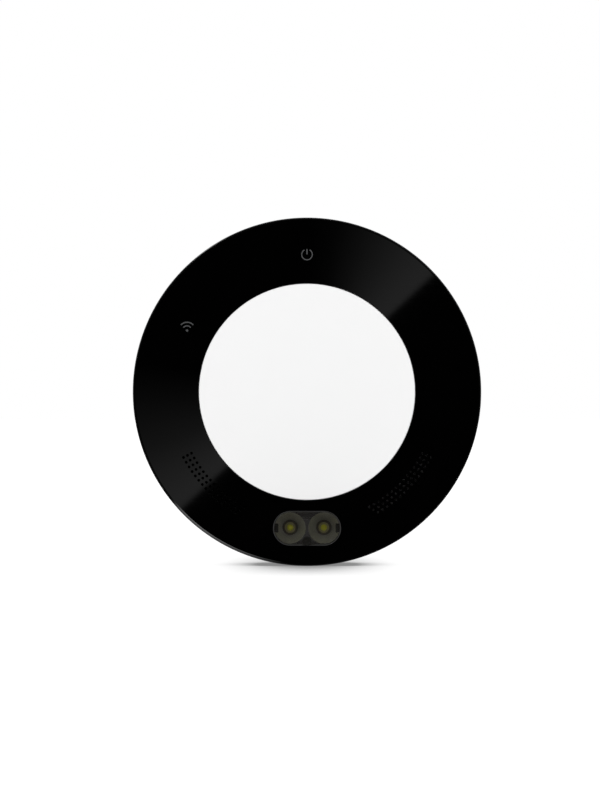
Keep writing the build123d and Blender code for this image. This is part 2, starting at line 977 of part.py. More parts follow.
def power_socket_tongue():
    """The insulator inside the socket, with its tongue."""
    half = socket_width / 2 - socket_sheet
    top = socket_mouth + socket_length - socket_sheet
    base_end = top - socket_base_length
    low, high = board_back - socket_height + socket_sheet, board_back - socket_sheet
    base = block(-half, half, base_end, top, low, high)
    half = socket_tongue_width / 2
    low, high = (low + high - socket_tongue_thickness) / 2, (low + high + socket_tongue_thickness) / 2
    return base + block(-half, half, base_end - socket_tongue_length, base_end, low, high)


# Reset button


def square_bar(size, low, high, corner=0):
    """A bar at the reset button, with its upright corners cut."""
    bar = block_at((reset_x, reset_y), size, size, low, high)
    return chamfer(bar.edges().filter_by(Axis.Z), corner) if corner else bar


def reset_button():
    """The cap in the back of the rear shell, its flange and its stem."""
    flange_low = floor_front + fit_gap
    flange_high = flange_low + reset_flange_thickness
    cap = square_bar(reset_cap_size, floor_back + reset_sink, flange_low, reset_corner)
    cap += square_bar(reset_flange_size, flange_low, flange_high, reset_corner)
    return cap + square_bar(reset_stem_size, flange_high, plunger_back)


def reset_plunger():
    """The plunger of the switch, which moves with the button."""
    return square_bar(plunger_size, plunger_back, plunger_back + plunger_proud + plunger_sunk)


def reset_switch():
    """The body of the switch, on the back of the board."""
    low = board_back - switch_height
    well_end = low + plunger_sunk + reset_travel + plunger_spare
    body = square_bar(switch_size, low, board_back, switch_edge)
    return body - square_bar(plunger_size + 2 * slide_gap, low - overrun, well_end)


def stand_up(shape):
    """Turns a piece from lying on its back to hanging on the wall."""
    solids = [Rot(90, 0, 0) * solid for solid in shape.solids()]
    return solids[0] if len(solids) == 1 else Compound(solids)


def make_parts():
    """Every node of the object, by name."""
    parts = {
        "wall_plate": wall_plate(),
        "rear_shell": rear_shell(),
        "front_shell": front_shell(),
        "centre_cap": centre_cap(),
        "lamp_window": lamp_window(),
        "lamp_reflector": lamp_reflector(),
        "lamp_board": lamp_board(),
        "warning_lamps": warning_lamps(),
        "lamp_header": lamp_header(),
        "sounder_gaskets": sounder_gaskets(),
        "speaker_mesh": dust_mesh(1),
        "siren_mesh": dust_mesh(-1),
        "speaker_frame": speaker_frame(),
        "speaker_magnet": speaker_magnet(),
        "speaker_diaphragm": speaker_diaphragm(),
        "speaker_contacts": spring_contacts(1, speaker_back),
        "siren": siren(),
        "siren_contacts": spring_contacts(-1, siren_back),
        "power_light_pipe": light_pipe(power_symbol_angle),
        "network_light_pipe": light_pipe(network_symbol_angle),
        "indicator_lamps": indicator_lamps(),
        "main_board": main_board(),
        "relays": relays(),
        "capacitor": capacitor(),
        "power_inductor": power_inductor(),
        "processor": processor(),
        "memory_chip": memory_chip(),
        "input_couplers": input_couplers(),
        "fuse": fuse(),
        "crystal": crystal(),
        "radio_module": radio_module(),
        "radio_shield": radio_shield(),
        "output_terminal_block": terminal_block(-1),
        "input_terminal_block": terminal_block(1),
        "output_clamp_springs": clamp_springs(-1),
        "input_clamp_springs": clamp_springs(1),
        "power_socket_shell": power_socket_shell(),
        "power_socket_tongue": power_socket_tongue(),
        "reset_button": reset_button(),
        "reset_plunger": reset_plunger(),
        "reset_switch": reset_switch(),
    }
    for pole in range(pole_count):
        parts[f"output_lever_{pole + 1}"] = lever(-1, pole)
        parts[f"input_lever_{pole + 1}"] = lever(1, pole)
    return parts


def main():
    os.makedirs("parts", exist_ok=True)
    for name, shape in make_parts().items():
        export_step(stand_up(shape), os.path.join("parts", name + ".step"))


main()
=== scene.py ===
# %% [markdown]
# # A round garage door controller
# The CAD model already has every piece at its real size and place. This notebook dresses it. It
# loads the model as a fixed frame, rebuilds the pieces that the photograph shows best in finer form,
# gives every piece a procedural finish, and sets up a plain studio.

# %% Load the frame
import json
from math import cos, pi, radians, sin, sqrt

import bmesh
import bpy
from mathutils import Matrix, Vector

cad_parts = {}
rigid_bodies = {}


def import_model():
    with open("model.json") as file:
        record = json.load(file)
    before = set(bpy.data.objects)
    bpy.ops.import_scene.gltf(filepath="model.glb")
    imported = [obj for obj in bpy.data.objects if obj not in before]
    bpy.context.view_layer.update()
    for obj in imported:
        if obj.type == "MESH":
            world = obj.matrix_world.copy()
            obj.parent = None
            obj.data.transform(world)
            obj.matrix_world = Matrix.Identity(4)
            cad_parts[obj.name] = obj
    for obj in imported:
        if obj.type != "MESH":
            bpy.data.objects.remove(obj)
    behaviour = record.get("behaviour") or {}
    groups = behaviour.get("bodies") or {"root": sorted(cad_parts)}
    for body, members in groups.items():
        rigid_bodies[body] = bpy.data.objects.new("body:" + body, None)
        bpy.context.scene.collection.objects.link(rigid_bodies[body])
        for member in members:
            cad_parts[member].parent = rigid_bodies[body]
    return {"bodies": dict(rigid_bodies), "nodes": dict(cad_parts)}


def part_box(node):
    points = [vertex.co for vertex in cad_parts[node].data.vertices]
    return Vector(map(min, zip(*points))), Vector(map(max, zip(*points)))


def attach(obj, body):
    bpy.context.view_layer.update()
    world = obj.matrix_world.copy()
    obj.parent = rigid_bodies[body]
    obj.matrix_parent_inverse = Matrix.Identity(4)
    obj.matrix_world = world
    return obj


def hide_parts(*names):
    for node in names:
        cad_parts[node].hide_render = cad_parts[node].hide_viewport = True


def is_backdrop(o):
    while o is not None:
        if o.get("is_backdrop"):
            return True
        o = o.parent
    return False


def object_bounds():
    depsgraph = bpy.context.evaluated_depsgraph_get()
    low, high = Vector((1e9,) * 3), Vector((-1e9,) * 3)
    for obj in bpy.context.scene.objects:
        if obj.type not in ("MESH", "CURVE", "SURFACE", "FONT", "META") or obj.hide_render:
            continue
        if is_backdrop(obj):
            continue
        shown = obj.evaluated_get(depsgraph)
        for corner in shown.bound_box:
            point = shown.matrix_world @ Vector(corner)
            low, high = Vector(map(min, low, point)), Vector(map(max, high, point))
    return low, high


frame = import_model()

cad_low, cad_high = (tuple(corner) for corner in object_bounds())
nodes = frame["nodes"]
mm = 0.001
print("CAD pieces", len(nodes), "in the box", cad_low, cad_high)

# %% [markdown]
# ## Sizes
# Everything is in metres, with +Z up, and the wall behind the object at Y = 0. The viewer stands on
# the -Y side, so a height above the wall is -Y. Most sizes are read from the frame's own boxes. The
# few that a box can't tell, such as the size of a perforation, are named where they are first used.

# %% Read the main sizes
def height_range(node):
    """How high a CAD node starts and ends above the wall."""
    low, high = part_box(node)
    return -high[1], -low[1]


body_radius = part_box("front_shell")[1][0]
split_height, face_height = height_range("front_shell")
face_thickness = 2.4 * mm
face_inside = face_height - face_thickness
window_low, window_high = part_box("lamp_window")
window_middle = (Vector(window_low) + Vector(window_high)) / 2
feature_radius = -window_middle.z
print("body radius", body_radius, "face at", face_height, "features on radius", feature_radius)

# %% [markdown]
# ## Shader sums in plain Python
# A procedural finish is a web of small nodes. It could be wired by hand, node by node, but such a
# web is hard to read. Here one small class wraps an output socket and overloads the arithmetic
# signs, so that a line such as `1 - mask * 0.5` adds its Math nodes by itself.

# %% A wire that Python can add and multiply
class Wire:
    """An output socket that takes part in Python sums."""

    def __init__(self, web, socket):
        self.web = web
        self.socket = socket

    def output(self, name):
        """Another output of the node that this wire comes from."""
        return Wire(self.web, self.socket.node.outputs[name])

    def math(self, operation, *others):
        """A Math node that takes this wire first."""
        return self.web.math(operation, self, *others)

    def __add__(self, other):
        return self.math("ADD", other)

    def __sub__(self, other):
        return self.math("SUBTRACT", other)

    def __rsub__(self, other):
        return self.web.math("SUBTRACT", other, self)

    def __mul__(self, other):
        return self.math("MULTIPLY", other)

    def __gt__(self, other):
        return self.math("GREATER_THAN", other)

    def __lt__(self, other):
        return self.math("LESS_THAN", other)

    __radd__ = __add__
    __rmul__ = __mul__


# %% [markdown]
# Every other node comes from one method, `node`, which sets the node's settings first and joins its
# sockets after. Materials, the world and Geometry Nodes all use it, so it has a class of its own.

# %% A web whose nodes come from one method
def set_stops(ramp, stops):
    """Gives a colour ramp its stops, each a place from 0 to 1 and a grey tone."""
    while len(ramp.elements) < len(stops):
        ramp.elements.new(0.5)
    for element, (place, tone) in zip(ramp.elements, stops):
        element.position = place
        element.color = (tone, tone, tone, 1)


class Web:
    """A node tree, and the one way in which it gets its nodes."""

    def __init__(self, tree):
        self.tree = tree

    def node(self, kind, settings=None, sockets=None, out=0):
        made = self.tree.nodes.new(kind)
        for name, value in (settings or {}).items():
            if name == "stops":
                set_stops(made.color_ramp, value)
            else:
                setattr(made, name, value)
        for name, value in (sockets or {}).items():
            self.join(value, made.inputs[name])
        return Wire(self, made.outputs[out])

    def math(self, operation, *values):
        return self.node("ShaderNodeMath", {"operation": operation}, dict(enumerate(values)))

    def join(self, value, target):
        """Links a wire to a socket, or sets the socket to a plain value."""
        if isinstance(value, Wire):
            self.tree.links.new(value.socket, target)
        elif isinstance(value, tuple) and target.type == "RGBA":
            target.default_value = (*value, 1)
        else:
            target.default_value = value


# %% [markdown]
# A finish needs the same few steps again and again: noise, a blend of two colours, a soft fade and
# a bump. Patterns read Object coordinates, so they are as large as on the real object and don't
# depend on an unwrapped surface.

# %% The steps that finishes share
class Paint(Web):
    """The nodes of one material, or of the world, that lead to its main shader."""

    def __init__(self, owner, shader="Principled BSDF"):
        owner.use_nodes = True
        super().__init__(owner.node_tree)
        self.owner = owner
        self.shader = self.tree.nodes[shader]

    def finish(self, **sockets):
        """Sets or links sockets of the main shader, by names such as base_color."""
        for name, value in sockets.items():
            self.join(value, self.shader.inputs[name.replace("_", " ").title()])
        return self.owner

    def place(self):
        """The point of the piece that is painted, in metres."""
        return self.node("ShaderNodeTexCoord", out="Object")

    def noise(self, size, detail, roughness=0.5, stretch=(1, 1, 1)):
        """Noise between about 0.3 and 0.7, whose grains measure size."""
        grid = self.node("ShaderNodeMapping", None, {"Vector": self.place(), "Scale": stretch})
        sockets = {"Vector": grid, "Scale": 1 / size, "Detail": detail, "Roughness": roughness}
        return self.node("ShaderNodeTexNoise", None, sockets)

    def blend(self, mask, first, second):
        """The first colour where the mask is 0 and the second where it is 1."""
        # A Mix node's colour sockets share their names with others, so they go by number.
        settings = {"data_type": "RGBA"}
        return self.node("ShaderNodeMix", settings, {0: mask, 6: first, 7: second}, out=2)

    def fade(self, value, start, end):
        """Rises smoothly from 0 at start to 1 at end, which may be the smaller of the two."""
        settings = {"interpolation_type": "SMOOTHSTEP"}
        limits = {"Value": value, "From Min": start, "From Max": end}
        return self.node("ShaderNodeMapRange", settings, limits)

    def bump(self, height, depth):
        return self.node("ShaderNodeBump", None, {"Height": height, "Distance": depth})


def new_paint(name):
    return Paint(bpy.data.materials.new(name))


def shade(colour, factor):
    """A colour made lighter or darker."""
    return tuple(min(1.0, channel * factor) for channel in colour)


# %% [markdown]
# ## Plastics
# Nearly all that shows is moulded plastic, which looks real through three small things: a colour
# that drifts a little, a roughness that isn't even, and the fine grain that the tool left. One
# function makes them all, and each plastic is a call with its own sizes. The black gloss has no
# grain, so it has a function of its own.

# %% Plastics
def moulded(name, colour, roughness, grain=0.25 * mm, depth=0.01 * mm, drift=0.06):
    """Plastic with a grain, whose colour and roughness drift by a share of themselves."""
    paint = new_paint(name)
    patch, grain_share = 9 * mm, 0.1
    slow = paint.noise(patch, detail=2)
    fine = paint.noise(grain, detail=4, roughness=0.6)
    tint = paint.blend(slow, shade(colour, 1 - drift), shade(colour, 1 + drift))
    rough = roughness * (1 - drift) + slow * (2 * drift * roughness) + fine * (grain_share * roughness)
    return paint.finish(base_color=tint, roughness=rough, normal=paint.bump(fine, depth))


def glossy(name, colour, roughness=0.03):
    """Polished plastic: no grain, and faint wiping marks in the gloss."""
    paint = new_paint(name)
    patch, wiping_mark = 30 * mm, 4 * mm
    wipe = paint.noise(wiping_mark, detail=3, stretch=(1, 1, 6))
    slow = paint.noise(patch, detail=1)
    tint = paint.blend(slow, shade(colour, 0.9), shade(colour, 1.1))
    return paint.finish(base_color=tint, roughness=roughness * 0.7 + wipe * (0.6 * roughness))


ring_black = glossy("gloss_black_ring", (0.0003, 0.0003, 0.0003))
satin_black = moulded("satin_black", (0.018, 0.018, 0.019), 0.42, 0.35 * mm, 0.012 * mm)
plate_black = moulded("plate_black", (0.026, 0.026, 0.027), 0.5, 0.4 * mm, 0.015 * mm)
inner_black = moulded("inner_black", (0.02, 0.02, 0.02), 0.5)
white_plastic = moulded("white_cap_plastic", (0.9, 0.9, 0.9), 0.38, 0.5 * mm, 0.004 * mm, 0.006)
terminal_grey = moulded("terminal_grey", (0.3, 0.31, 0.32), 0.45)
lever_orange = moulded("lever_orange", (0.8, 0.2, 0.02), 0.4)
button_grey = moulded("button_grey", (0.42, 0.43, 0.44), 0.45)
relay_blue = moulded("relay_blue", (0.03, 0.09, 0.3), 0.35, 0.3 * mm, 0.006 * mm)
chip_black = moulded("chip_epoxy", (0.022, 0.022, 0.023), 0.55, 0.12 * mm, 0.008 * mm)
fuse_ceramic = moulded("fuse_ceramic", (0.78, 0.75, 0.68), 0.5, 0.2 * mm)
ferrite_grey = moulded("ferrite_grey", (0.1, 0.1, 0.105), 0.6, 0.3 * mm, 0.03 * mm)
gasket_foam = moulded("gasket_foam", (0.02, 0.02, 0.02), 0.9, 0.5 * mm, 0.12 * mm)
film_black = moulded("diaphragm_film", (0.035, 0.035, 0.035), 0.3, 2 * mm, 0.03 * mm)
print("plastics made:", len(bpy.data.materials))

# %% [markdown]
# ## Metals
# Rolled and plated metal has fine scratches along one direction. A photograph of metal would give
# them, but noise that is squeezed across that direction needs no picture. It feeds the roughness and
# a shallow bump.

# %% Metals
def plated(name, colour, roughness, stretch=(1, 1, 12), scratch=0.2 * mm, metallic=1.0):
    """Metal with fine lines, which the stretch squeezes, and a faint cloud of tarnish."""
    paint = new_paint(name)
    cloud_size, scratch_depth = 3 * mm, 0.003 * mm
    lines = paint.noise(scratch, detail=3, stretch=stretch)
    cloud = paint.noise(cloud_size, detail=2)
    tint = paint.blend(cloud, shade(colour, 0.93), shade(colour, 1.05))
    rough = roughness * 0.8 + lines * (0.4 * roughness)
    bump = paint.bump(lines, scratch_depth)
    return paint.finish(base_color=tint, metallic=metallic, roughness=rough, normal=bump)


tinned_steel = plated("tinned_steel", (0.62, 0.62, 0.6), 0.32)
spring_steel = plated("spring_steel", (0.5, 0.5, 0.51), 0.28)
nickel = plated("magnet_nickel", (0.56, 0.54, 0.5), 0.3)
gold_flash = plated("contact_gold", (0.83, 0.62, 0.28), 0.25)
drawn_can = plated("drawn_aluminium", (0.8, 0.8, 0.82), 0.3, (1, 14, 1))
mirror_coat = plated("reflector_coat", (0.47, 0.47, 0.43), 0.4, (1, 1, 1), 0.6 * mm, 0.4)
print("finishes with the metals:", len(bpy.data.materials))

# %% [markdown]
# ## Clear pieces
# The window in front of the lamps is smoked plastic: what lies behind it shows, dimmed and a little
# warm. Alpha does that more simply than refraction, and soft light still reaches the reflector. The
# light pipes are milky, so they take more of their own colour.

# %% Clear pieces
def clear(name, colour, alpha, roughness):
    """Plastic that covers what is behind it by the share alpha."""
    paint = new_paint(name)
    cloud_size = 5 * mm
    cloud = paint.noise(cloud_size, detail=2)
    paint.owner.surface_render_method = "BLENDED"
    tint = paint.blend(cloud, shade(colour, 0.95), shade(colour, 1.05))
    rough = roughness * 0.8 + cloud * (roughness * 0.4)
    return paint.finish(base_color=tint, alpha=alpha, roughness=rough)


smoked = clear("smoked_window", (0.012, 0.011, 0.008), 0.34, 0.04)
pipe_clear = clear("light_pipe_clear", (0.75, 0.78, 0.8), 0.55, 0.12)
print("finishes with the clear ones:", len(bpy.data.materials))

# %% [markdown]
# The lamps, what stands round them and the print of the two signs take plain colours. The lamps
# aren't lit in the photograph: their yellow is the dry coat over the chip, so it needs no glow.

# %% Lamps and prints
phosphor = moulded("lamp_phosphor", (0.84, 0.83, 0.036), 0.35, 0.15 * mm, 0.01 * mm, 0.08)
indicator_white = moulded("indicator_white", (0.75, 0.74, 0.68), 0.35, 0.15 * mm)
symbol_grey = moulded("symbol_print", (0.05, 0.051, 0.053), 0.5, 0.1 * mm, 0.002 * mm, 0.1)
mask_black = moulded("lamp_mask_black", (0.045, 0.043, 0.047), 0.45, 0.3 * mm, 0.01 * mm)
clip_black = moulded("lamp_clip_black", (0.006, 0.006, 0.009), 0.5, 0.3 * mm, 0.01 * mm)
seat_brown = moulded("lamp_seat", (0.075, 0.061, 0.046), 0.5, 0.3 * mm, 0.01 * mm)
halo_green = moulded("lamp_halo", (0.42, 0.38, 0.155), 0.35, 0.2 * mm, 0.01 * mm)
bead_grey = moulded("window_bead", (0.026, 0.026, 0.025), 0.35, 0.2 * mm, 0.004 * mm)
print("finishes with the lamps and prints:", len(bpy.data.materials))

# %% [markdown]
# ## Circuit boards
# Under its green mask a board has copper tracks, which show as slightly raised, lighter lines. The
# mortar of a brick texture, kept only in patches, draws such straight runs, and a Voronoi texture
# scatters the small round vias. Both are far cheaper than tracks of real geometry.

# %% Solder mask
def solder_mask(name, colour):
    """Green lacquer over straight tracks and round vias, which stand up a little."""
    paint = new_paint(name)
    cross_pitch, track_pitch, track_width = 7.0, 0.8, 0.1
    patch, via_pitch, via_share, relief = 6 * mm, 2.5 * mm, 0.1, 0.03 * mm
    across = paint.node("ShaderNodeSeparateXYZ", None, {0: paint.place()}, out="X")
    flat = paint.node("ShaderNodeCombineXYZ", None, {"X": across, "Y": across.output("Z")})
    # With this scale the texture's other sizes are in millimetres.
    grid = {"Vector": flat, "Scale": 1 / mm}
    grid |= {"Brick Width": cross_pitch, "Row Height": track_pitch, "Mortar Size": track_width}
    runs = paint.node("ShaderNodeTexBrick", {"offset": 0.37}, grid, out="Fac")
    tracks = runs * (paint.noise(patch, detail=1) > 0.5)
    dots = {"Vector": paint.place(), "Scale": 1 / via_pitch}
    vias = paint.node("ShaderNodeTexVoronoi", {"feature": "F1"}, dots) < via_share
    tint = paint.blend(tracks, colour, shade(colour, 1.8))
    tint = paint.blend(vias, tint, (0.55, 0.5, 0.35))
    bump = paint.bump(tracks + vias, relief)
    return paint.finish(base_color=tint, roughness=0.32 + vias * 0.1, normal=bump)


board_green = solder_mask("board_green", (0.012, 0.085, 0.04))
print("finishes with the board:", len(bpy.data.materials))

# %% [markdown]
# ## Cloth behind the grilles
# Fine cloth keeps dust off the sounders. Its threads are thinner than a pixel in most views, so they
# are painted: two wave textures cross, one for the warp and one for the weft, and the higher of both
# is the thread that lies on top. Where both are low, between the threads, the colour is painted
# darker as shade.

# %% Speaker and siren cloth
wave_spacing = 0.314  # Between the bands of a wave texture whose scale is 1.
thread_pitch = 0.18 * mm
thread_relief = 0.04 * mm


def woven(name, colour):
    """Fine cloth of crossed threads, with painted shade where they dip between each other."""
    paint = new_paint(name)
    waves = []
    for direction in ("X", "Z"):
        settings = {"wave_type": "BANDS", "bands_direction": direction}
        sockets = {"Vector": paint.place(), "Scale": wave_spacing / thread_pitch, "Distortion": 0.3}
        waves.append(paint.node("ShaderNodeTexWave", settings, sockets, out="Fac"))
    height = paint.math("MAXIMUM", *waves)
    # Painted shade: the cloth is darker where both waves are low, in the dips between the threads.
    tint = paint.blend(height, shade(colour, 0.55), colour)
    return paint.finish(base_color=tint, roughness=0.85, normal=paint.bump(height, thread_relief))


speaker_cloth = woven("speaker_cloth", (0.19, 0.19, 0.19))
siren_cloth = woven("siren_cloth", (0.006, 0.006, 0.006))
print("all finishes of the object:", len(bpy.data.materials))

# %% [markdown]
# ## Building meshes
# Every new piece starts as a bmesh, a mesh that a script can build face by face. It becomes an object
# at the origin with its place in its mesh, as the CAD pieces have it, so the patterns of the finishes
# don't slide. A piece also notes which moving body carries it.

# %% Helpers for a piece and its shading
def new_piece(name, made, material, body="housing"):
    """An object at the origin, made from a bmesh, with its material."""
    mesh = bpy.data.meshes.new(name)
    bmesh.ops.recalc_face_normals(made, faces=made.faces)
    made.to_mesh(mesh)
    made.free()
    piece = bpy.data.objects.new(name, mesh)
    bpy.context.collection.objects.link(piece)
    piece.data.materials.append(material)
    piece["body"] = body
    return piece


def apply_modifiers(piece):
    """Turns what the modifiers give into the piece's own mesh and drops them."""
    shape = piece.evaluated_get(bpy.context.evaluated_depsgraph_get())
    mesh = bpy.data.meshes.new_from_object(shape)
    piece.modifiers.clear()
    piece.data = mesh
    return piece


def soften(piece, angle=35):
    """Smooth shading, with creases where the surface turns by more than the angle."""
    mesh = piece.data
    mesh.shade_smooth()
    mesh.set_sharp_from_angle(angle=radians(angle))
    return piece


def crease_flats(piece, angle=35):
    """Smooth shading, but every face that looks straight along an axis stays flat."""
    straight = 0.9999
    soften(piece, angle)
    for face in piece.data.polygons:
        face.use_smooth = max(abs(part) for part in face.normal) < straight
    return piece


# %% [markdown]
# Round pieces are turned, as on a lathe: a profile of (radius, height above the wall) points runs
# once round an axis that points at the viewer. The Screw modifier could do it, but writing the rings
# by hand keeps the poles closed and the faces even.

# %% Helpers for turned pieces
def turned(profile, steps, centre=(0, 0)):
    """A closed solid turned about a line through centre, from its (radius, height) profile."""
    made = bmesh.new()
    rings = []
    for radius, height in profile:
        if radius == 0:
            rings.append([made.verts.new((centre[0], -height, centre[1]))] * steps)
            continue
        ring = []
        for i in range(steps):
            angle = 2 * pi * i / steps
            x, z = centre[0] + radius * cos(angle), centre[1] + radius * sin(angle)
            ring.append(made.verts.new((x, -height, z)))
        rings.append(ring)
    for ring, following in zip(rings, rings[1:] + rings[:1]):
        for i in range(steps):
            j = (i + 1) % steps
            corners = dict.fromkeys((ring[i], ring[j], following[j], following[i]))
            if len(corners) > 2:
                made.faces.new(corners)
    return made


def rounded(centre, radius, start, end, steps):
    """Points of an arc, from one angle to another in degrees."""
    turns = [radians(start + (end - start) * i / steps) for i in range(steps + 1)]
    return [(centre[0] + radius * cos(turn), centre[1] + radius * sin(turn)) for turn in turns]


# %% [markdown]
# ## The gloss ring
# The front shell is a deep ring with a mirror-like flat face, a narrow bevel outside and a fine round
# edge beside the white cap. A bevelled cylinder would come close, but a turned profile gives each edge
# its own shape: a bevel in two steps with a hair-thin groove between them, which catch two thin lines
# of light. The ring takes 256 steps, because a mirror shows every corner.

# %% Turn the ring
ring_steps = 256
shell_wall = 2.0 * mm
cap_opening_radius = 40.4 * mm
cap_edge_round = 0.2 * mm
inside_radius = body_radius - shell_wall
cap_edge_middle = (cap_opening_radius + cap_edge_round, face_height - cap_edge_round)
# Each point of the rim lies so many millimetres inwards from the wall and down from the face.
rim_edge = [
    (0, 0.5), (0.06, 0.4), (0.18, 0.32), (0.46, 0.2), (0.5, 0.3), (0.58, 0.3), (0.62, 0.13), (0.92, 0),
]
ring_profile = [
    (inside_radius, split_height),
    (body_radius, split_height),
    *((body_radius - inwards * mm, face_height - down * mm) for inwards, down in rim_edge),
    *rounded(cap_edge_middle, cap_edge_round, 90, 180, 4),
    (cap_opening_radius, face_inside),
    (inside_radius, face_inside),
]
ring = new_piece("front_ring", turned(ring_profile, ring_steps), ring_black)
print("turned ring faces", len(ring.data.polygons))

# %% [markdown]
# The lamp window sits in a slot with round ends. A Boolean modifier takes a straight solid of that
# outline out of the ring, which is easier than a turned mesh that leaves room for the slot. The
# window, the bead round it and other flat pieces are such solids too.

# %% Helpers for straight pieces and cuts
def pill(length, width, centre, steps=24):
    """The outline of a slot with round ends."""
    radius, run = width / 2, (length - width) / 2
    points = []
    for side, start in ((1, -90), (-1, 90)):
        points += rounded((centre[0] + side * run, centre[1]), radius, start, start + 180, steps)
    return points


def prism(outline, low, high):
    """A straight solid over an outline of (x, z) points, between two heights."""
    made = bmesh.new()
    foot, top = ([made.verts.new((x, -height, z)) for x, z in outline] for height in (low, high))
    made.faces.new(foot)
    made.faces.new(top)
    for corners in zip(foot, foot[1:] + foot[:1], top[1:] + top[:1], top):
        made.faces.new(corners)
    return made


def cut(piece, cutter):
    """Takes the cutter's space out of the piece and removes the cutter."""
    boolean = piece.modifiers.new("cut", "BOOLEAN")
    boolean.object = cutter
    boolean.solver = "EXACT"
    apply_modifiers(piece)
    bpy.data.objects.remove(cutter)


# %% Cut the window's opening
overcut = 1.0 * mm  # How far a cutter reaches past the faces that it cuts.
window_gap = 0.1 * mm
window_length, window_width = window_high[0] - window_low[0], window_high[2] - window_low[2]
window_centre = (window_middle.x, window_middle.z)
hole = pill(window_length + 2 * window_gap, window_width + 2 * window_gap, window_centre)
hole_solid = prism(hole, face_inside - overcut, face_height + overcut)
cut(ring, new_piece("window_hole", hole_solid, inner_black))
print("ring faces with the window's opening", len(ring.data.polygons))

# %% [markdown]
# ## Perforations
# Two grilles of three rows of fine holes let the speaker and the siren out. Each row is an arc about
# the body's middle, and every row keeps the same pitch, so the rows run out of step. Geometry Nodes
# place one small cutter at each point of that rule and take all of them out of the ring at once. The
# cutter is wider at its top, which gives each hole the soft edge that catches the light.

# %% A cutter for one hole
hole_radius = 0.475 * mm
hole_edge = 0.08 * mm
hole_steps = 12
cutter_depth = face_thickness + overcut
cutter_profile = [
    (0, -cutter_depth),
    (hole_radius, -cutter_depth),
    (hole_radius, -hole_edge),
    (hole_radius + 2 * hole_edge, hole_edge),
    (0, hole_edge),
]
cutter = new_piece("hole_cutter", turned(cutter_profile, hole_steps), inner_black)
print("cutter faces", len(cutter.data.polygons))

# %% [markdown]
# A Geometry Nodes tree is a node group with an interface. Its inputs get the names of the grille's
# sizes, so anyone can read off the tree what it needs. The modifier knows them by identifiers, which
# the class keeps.

# %% A tree with named inputs
class Tree(Web):
    """A Geometry Nodes tree with named inputs, which changes the mesh that it is run on."""

    def __init__(self, name, inputs):
        super().__init__(bpy.data.node_groups.new(name, "GeometryNodeTree"))
        face = self.tree.interface
        face.new_socket("Geometry", in_out="INPUT", socket_type="NodeSocketGeometry")
        self.identifiers = {}
        for label, kind in inputs.items():
            made = face.new_socket(label, in_out="INPUT", socket_type=kind)
            self.identifiers[label] = made.identifier
        face.new_socket("Geometry", in_out="OUTPUT", socket_type="NodeSocketGeometry")
        self.start = self.tree.nodes.new("NodeGroupInput")
        self.end = self.tree.nodes.new("NodeGroupOutput")

    def given(self, label):
        """The wire from one of the named inputs."""
        return Wire(self, self.start.outputs[label])

    def run(self, piece, values):
        """Runs the tree on a piece with its inputs set, and keeps the plain mesh."""
        modifier = piece.modifiers.new(self.tree.name, "NODES")
        modifier.node_group = self.tree
        for label, value in values.items():
            modifier[self.identifiers[label]] = value
        return apply_modifiers(piece)


# %% [markdown]
# The perforator's inputs are all that makes up a grille: how many rows and holes it has, how far
# apart they lie, where they start and on which side.

# %% The inputs of the perforator
number, whole = "NodeSocketFloat", "NodeSocketInt"
perforator = Tree(
    "perforator",
    {
        "Cutter": "NodeSocketObject",
        "Material": "NodeSocketMaterial",
        "Rows": whole,
        "Holes per row": whole,
        "Inner radius": number,
        "Row pitch": number,
        "Hole pitch": number,
        "Start angle": number,
        "Face height": number,
        "Side": number,
    },
)
print("inputs of the perforator:", len(perforator.identifiers))

# %% [markdown]
# One index counts all holes of a grille. Divided by the holes per row it gives the row, and what is
# left over gives the place in that row. An arc's angle is its length over its radius, so the pitch is
# divided by each row's own radius.

# %% The rule of the perforations
def build_perforator(tree):
    """Puts a cutter at every hole's place and takes all of them out of the given mesh."""
    per_row = tree.given("Holes per row")
    count = tree.given("Rows") * per_row
    index = tree.node("GeometryNodeInputIndex")
    row = index.math("DIVIDE", per_row).math("FLOOR")
    place = index.math("MODULO", per_row)
    radius = tree.given("Inner radius") + row * tree.given("Row pitch")
    turn = tree.given("Start angle") + (place * tree.given("Hole pitch")).math("DIVIDE", radius)
    x = tree.given("Side") * radius * turn.math("COSINE")
    z = radius * turn.math("SINE") * -1
    y = tree.given("Face height") * -1
    spot = tree.node("ShaderNodeCombineXYZ", None, {"X": x, "Y": y, "Z": z})
    points = tree.node("GeometryNodePoints", None, {"Count": count, "Position": spot})
    source = {"Object": tree.given("Cutter")}
    shape = tree.node("GeometryNodeObjectInfo", None, source, out="Geometry")
    pins = tree.node("GeometryNodeInstanceOnPoints", None, {"Points": points, "Instance": shape})
    pins = tree.node("GeometryNodeRealizeInstances", None, {"Geometry": pins})
    exactly = {"operation": "DIFFERENCE", "solver": "EXACT"}
    solids = {"Mesh 1": tree.given("Geometry"), "Mesh 2": pins}
    holed = tree.node("GeometryNodeMeshBoolean", exactly, solids)
    painted = {"Geometry": holed, "Material": tree.given("Material")}
    tree.join(tree.node("GeometryNodeSetMaterial", None, painted), tree.end.inputs[0])


build_perforator(perforator)
print("nodes of the perforator:", len(perforator.tree.nodes))

# %% [markdown]
# Each side runs the same tree: side -1 is the left grille and side 1 the right one.

# %% Perforate both sides
grille = {
    "Cutter": cutter,
    "Material": ring_black,
    "Rows": 3,
    "Holes per row": 15,
    "Inner radius": 48.8 * mm,
    "Row pitch": 1.68 * mm,
    "Hole pitch": 2.05 * mm,
    "Start angle": radians(28),
    "Face height": face_height,
}
for side in (-1.0, 1.0):
    perforator.run(ring, {**grille, "Side": side})
bpy.data.objects.remove(cutter)
crease_flats(ring, 20)
print("perforated ring faces", len(ring.data.polygons))

# %% [markdown]
# ## The white cap
# The centre is one plain white disc, flush with the ring, with a hair-thin gap round it. Only its
# outer edge is rounded, so it is turned too, with the flange that holds it from behind.

